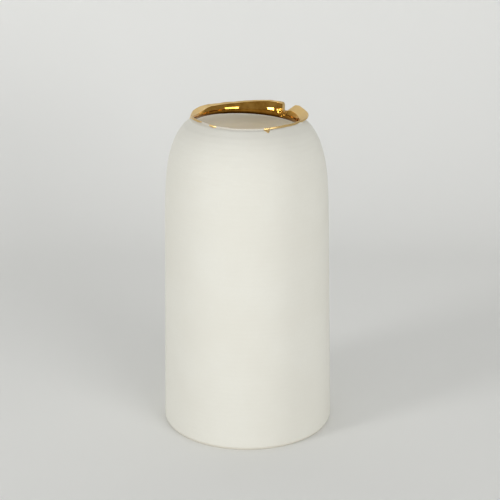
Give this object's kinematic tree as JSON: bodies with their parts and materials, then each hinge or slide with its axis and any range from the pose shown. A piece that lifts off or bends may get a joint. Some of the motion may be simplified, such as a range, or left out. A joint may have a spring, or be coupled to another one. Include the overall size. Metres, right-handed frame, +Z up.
{
  "type": "porcelain vase",
  "caption": "Tall thrown porcelain vase with a rounded shoulder, an open mouth glazed inside, and a torn flaring rim covered in gold lustre.",
  "frame": {"origin": "centre of the foot, on the plane the vase stands on", "axes": "+Z up along the turning axis; -Y is the front, where the rim is torn lowest; +X is the right seen from the front, where the flap of the lip stands out"},
  "size_m": [0.121, 0.121, 0.2266],
  "materials": {
    "bare_porcelain": "unglazed matte bisque, warm white",
    "clear_glaze": "satin clear glaze over porcelain, warm beige inside the vase",
    "gold_lustre": "bright fired gold lustre, mirror-like with fine brush marks"
  },
  "bodies": {
    "root": {"porcelain_body": "bare_porcelain", "interior_glaze": "clear_glaze", "gold_lip_band": "gold_lustre", "gold_lip_flap": "gold_lustre", "gold_edge_line": "gold_lustre", "gold_drip": "gold_lustre", "gold_smear": "gold_lustre", "gold_fleck": "gold_lustre"}
  },
  "joints": []
}
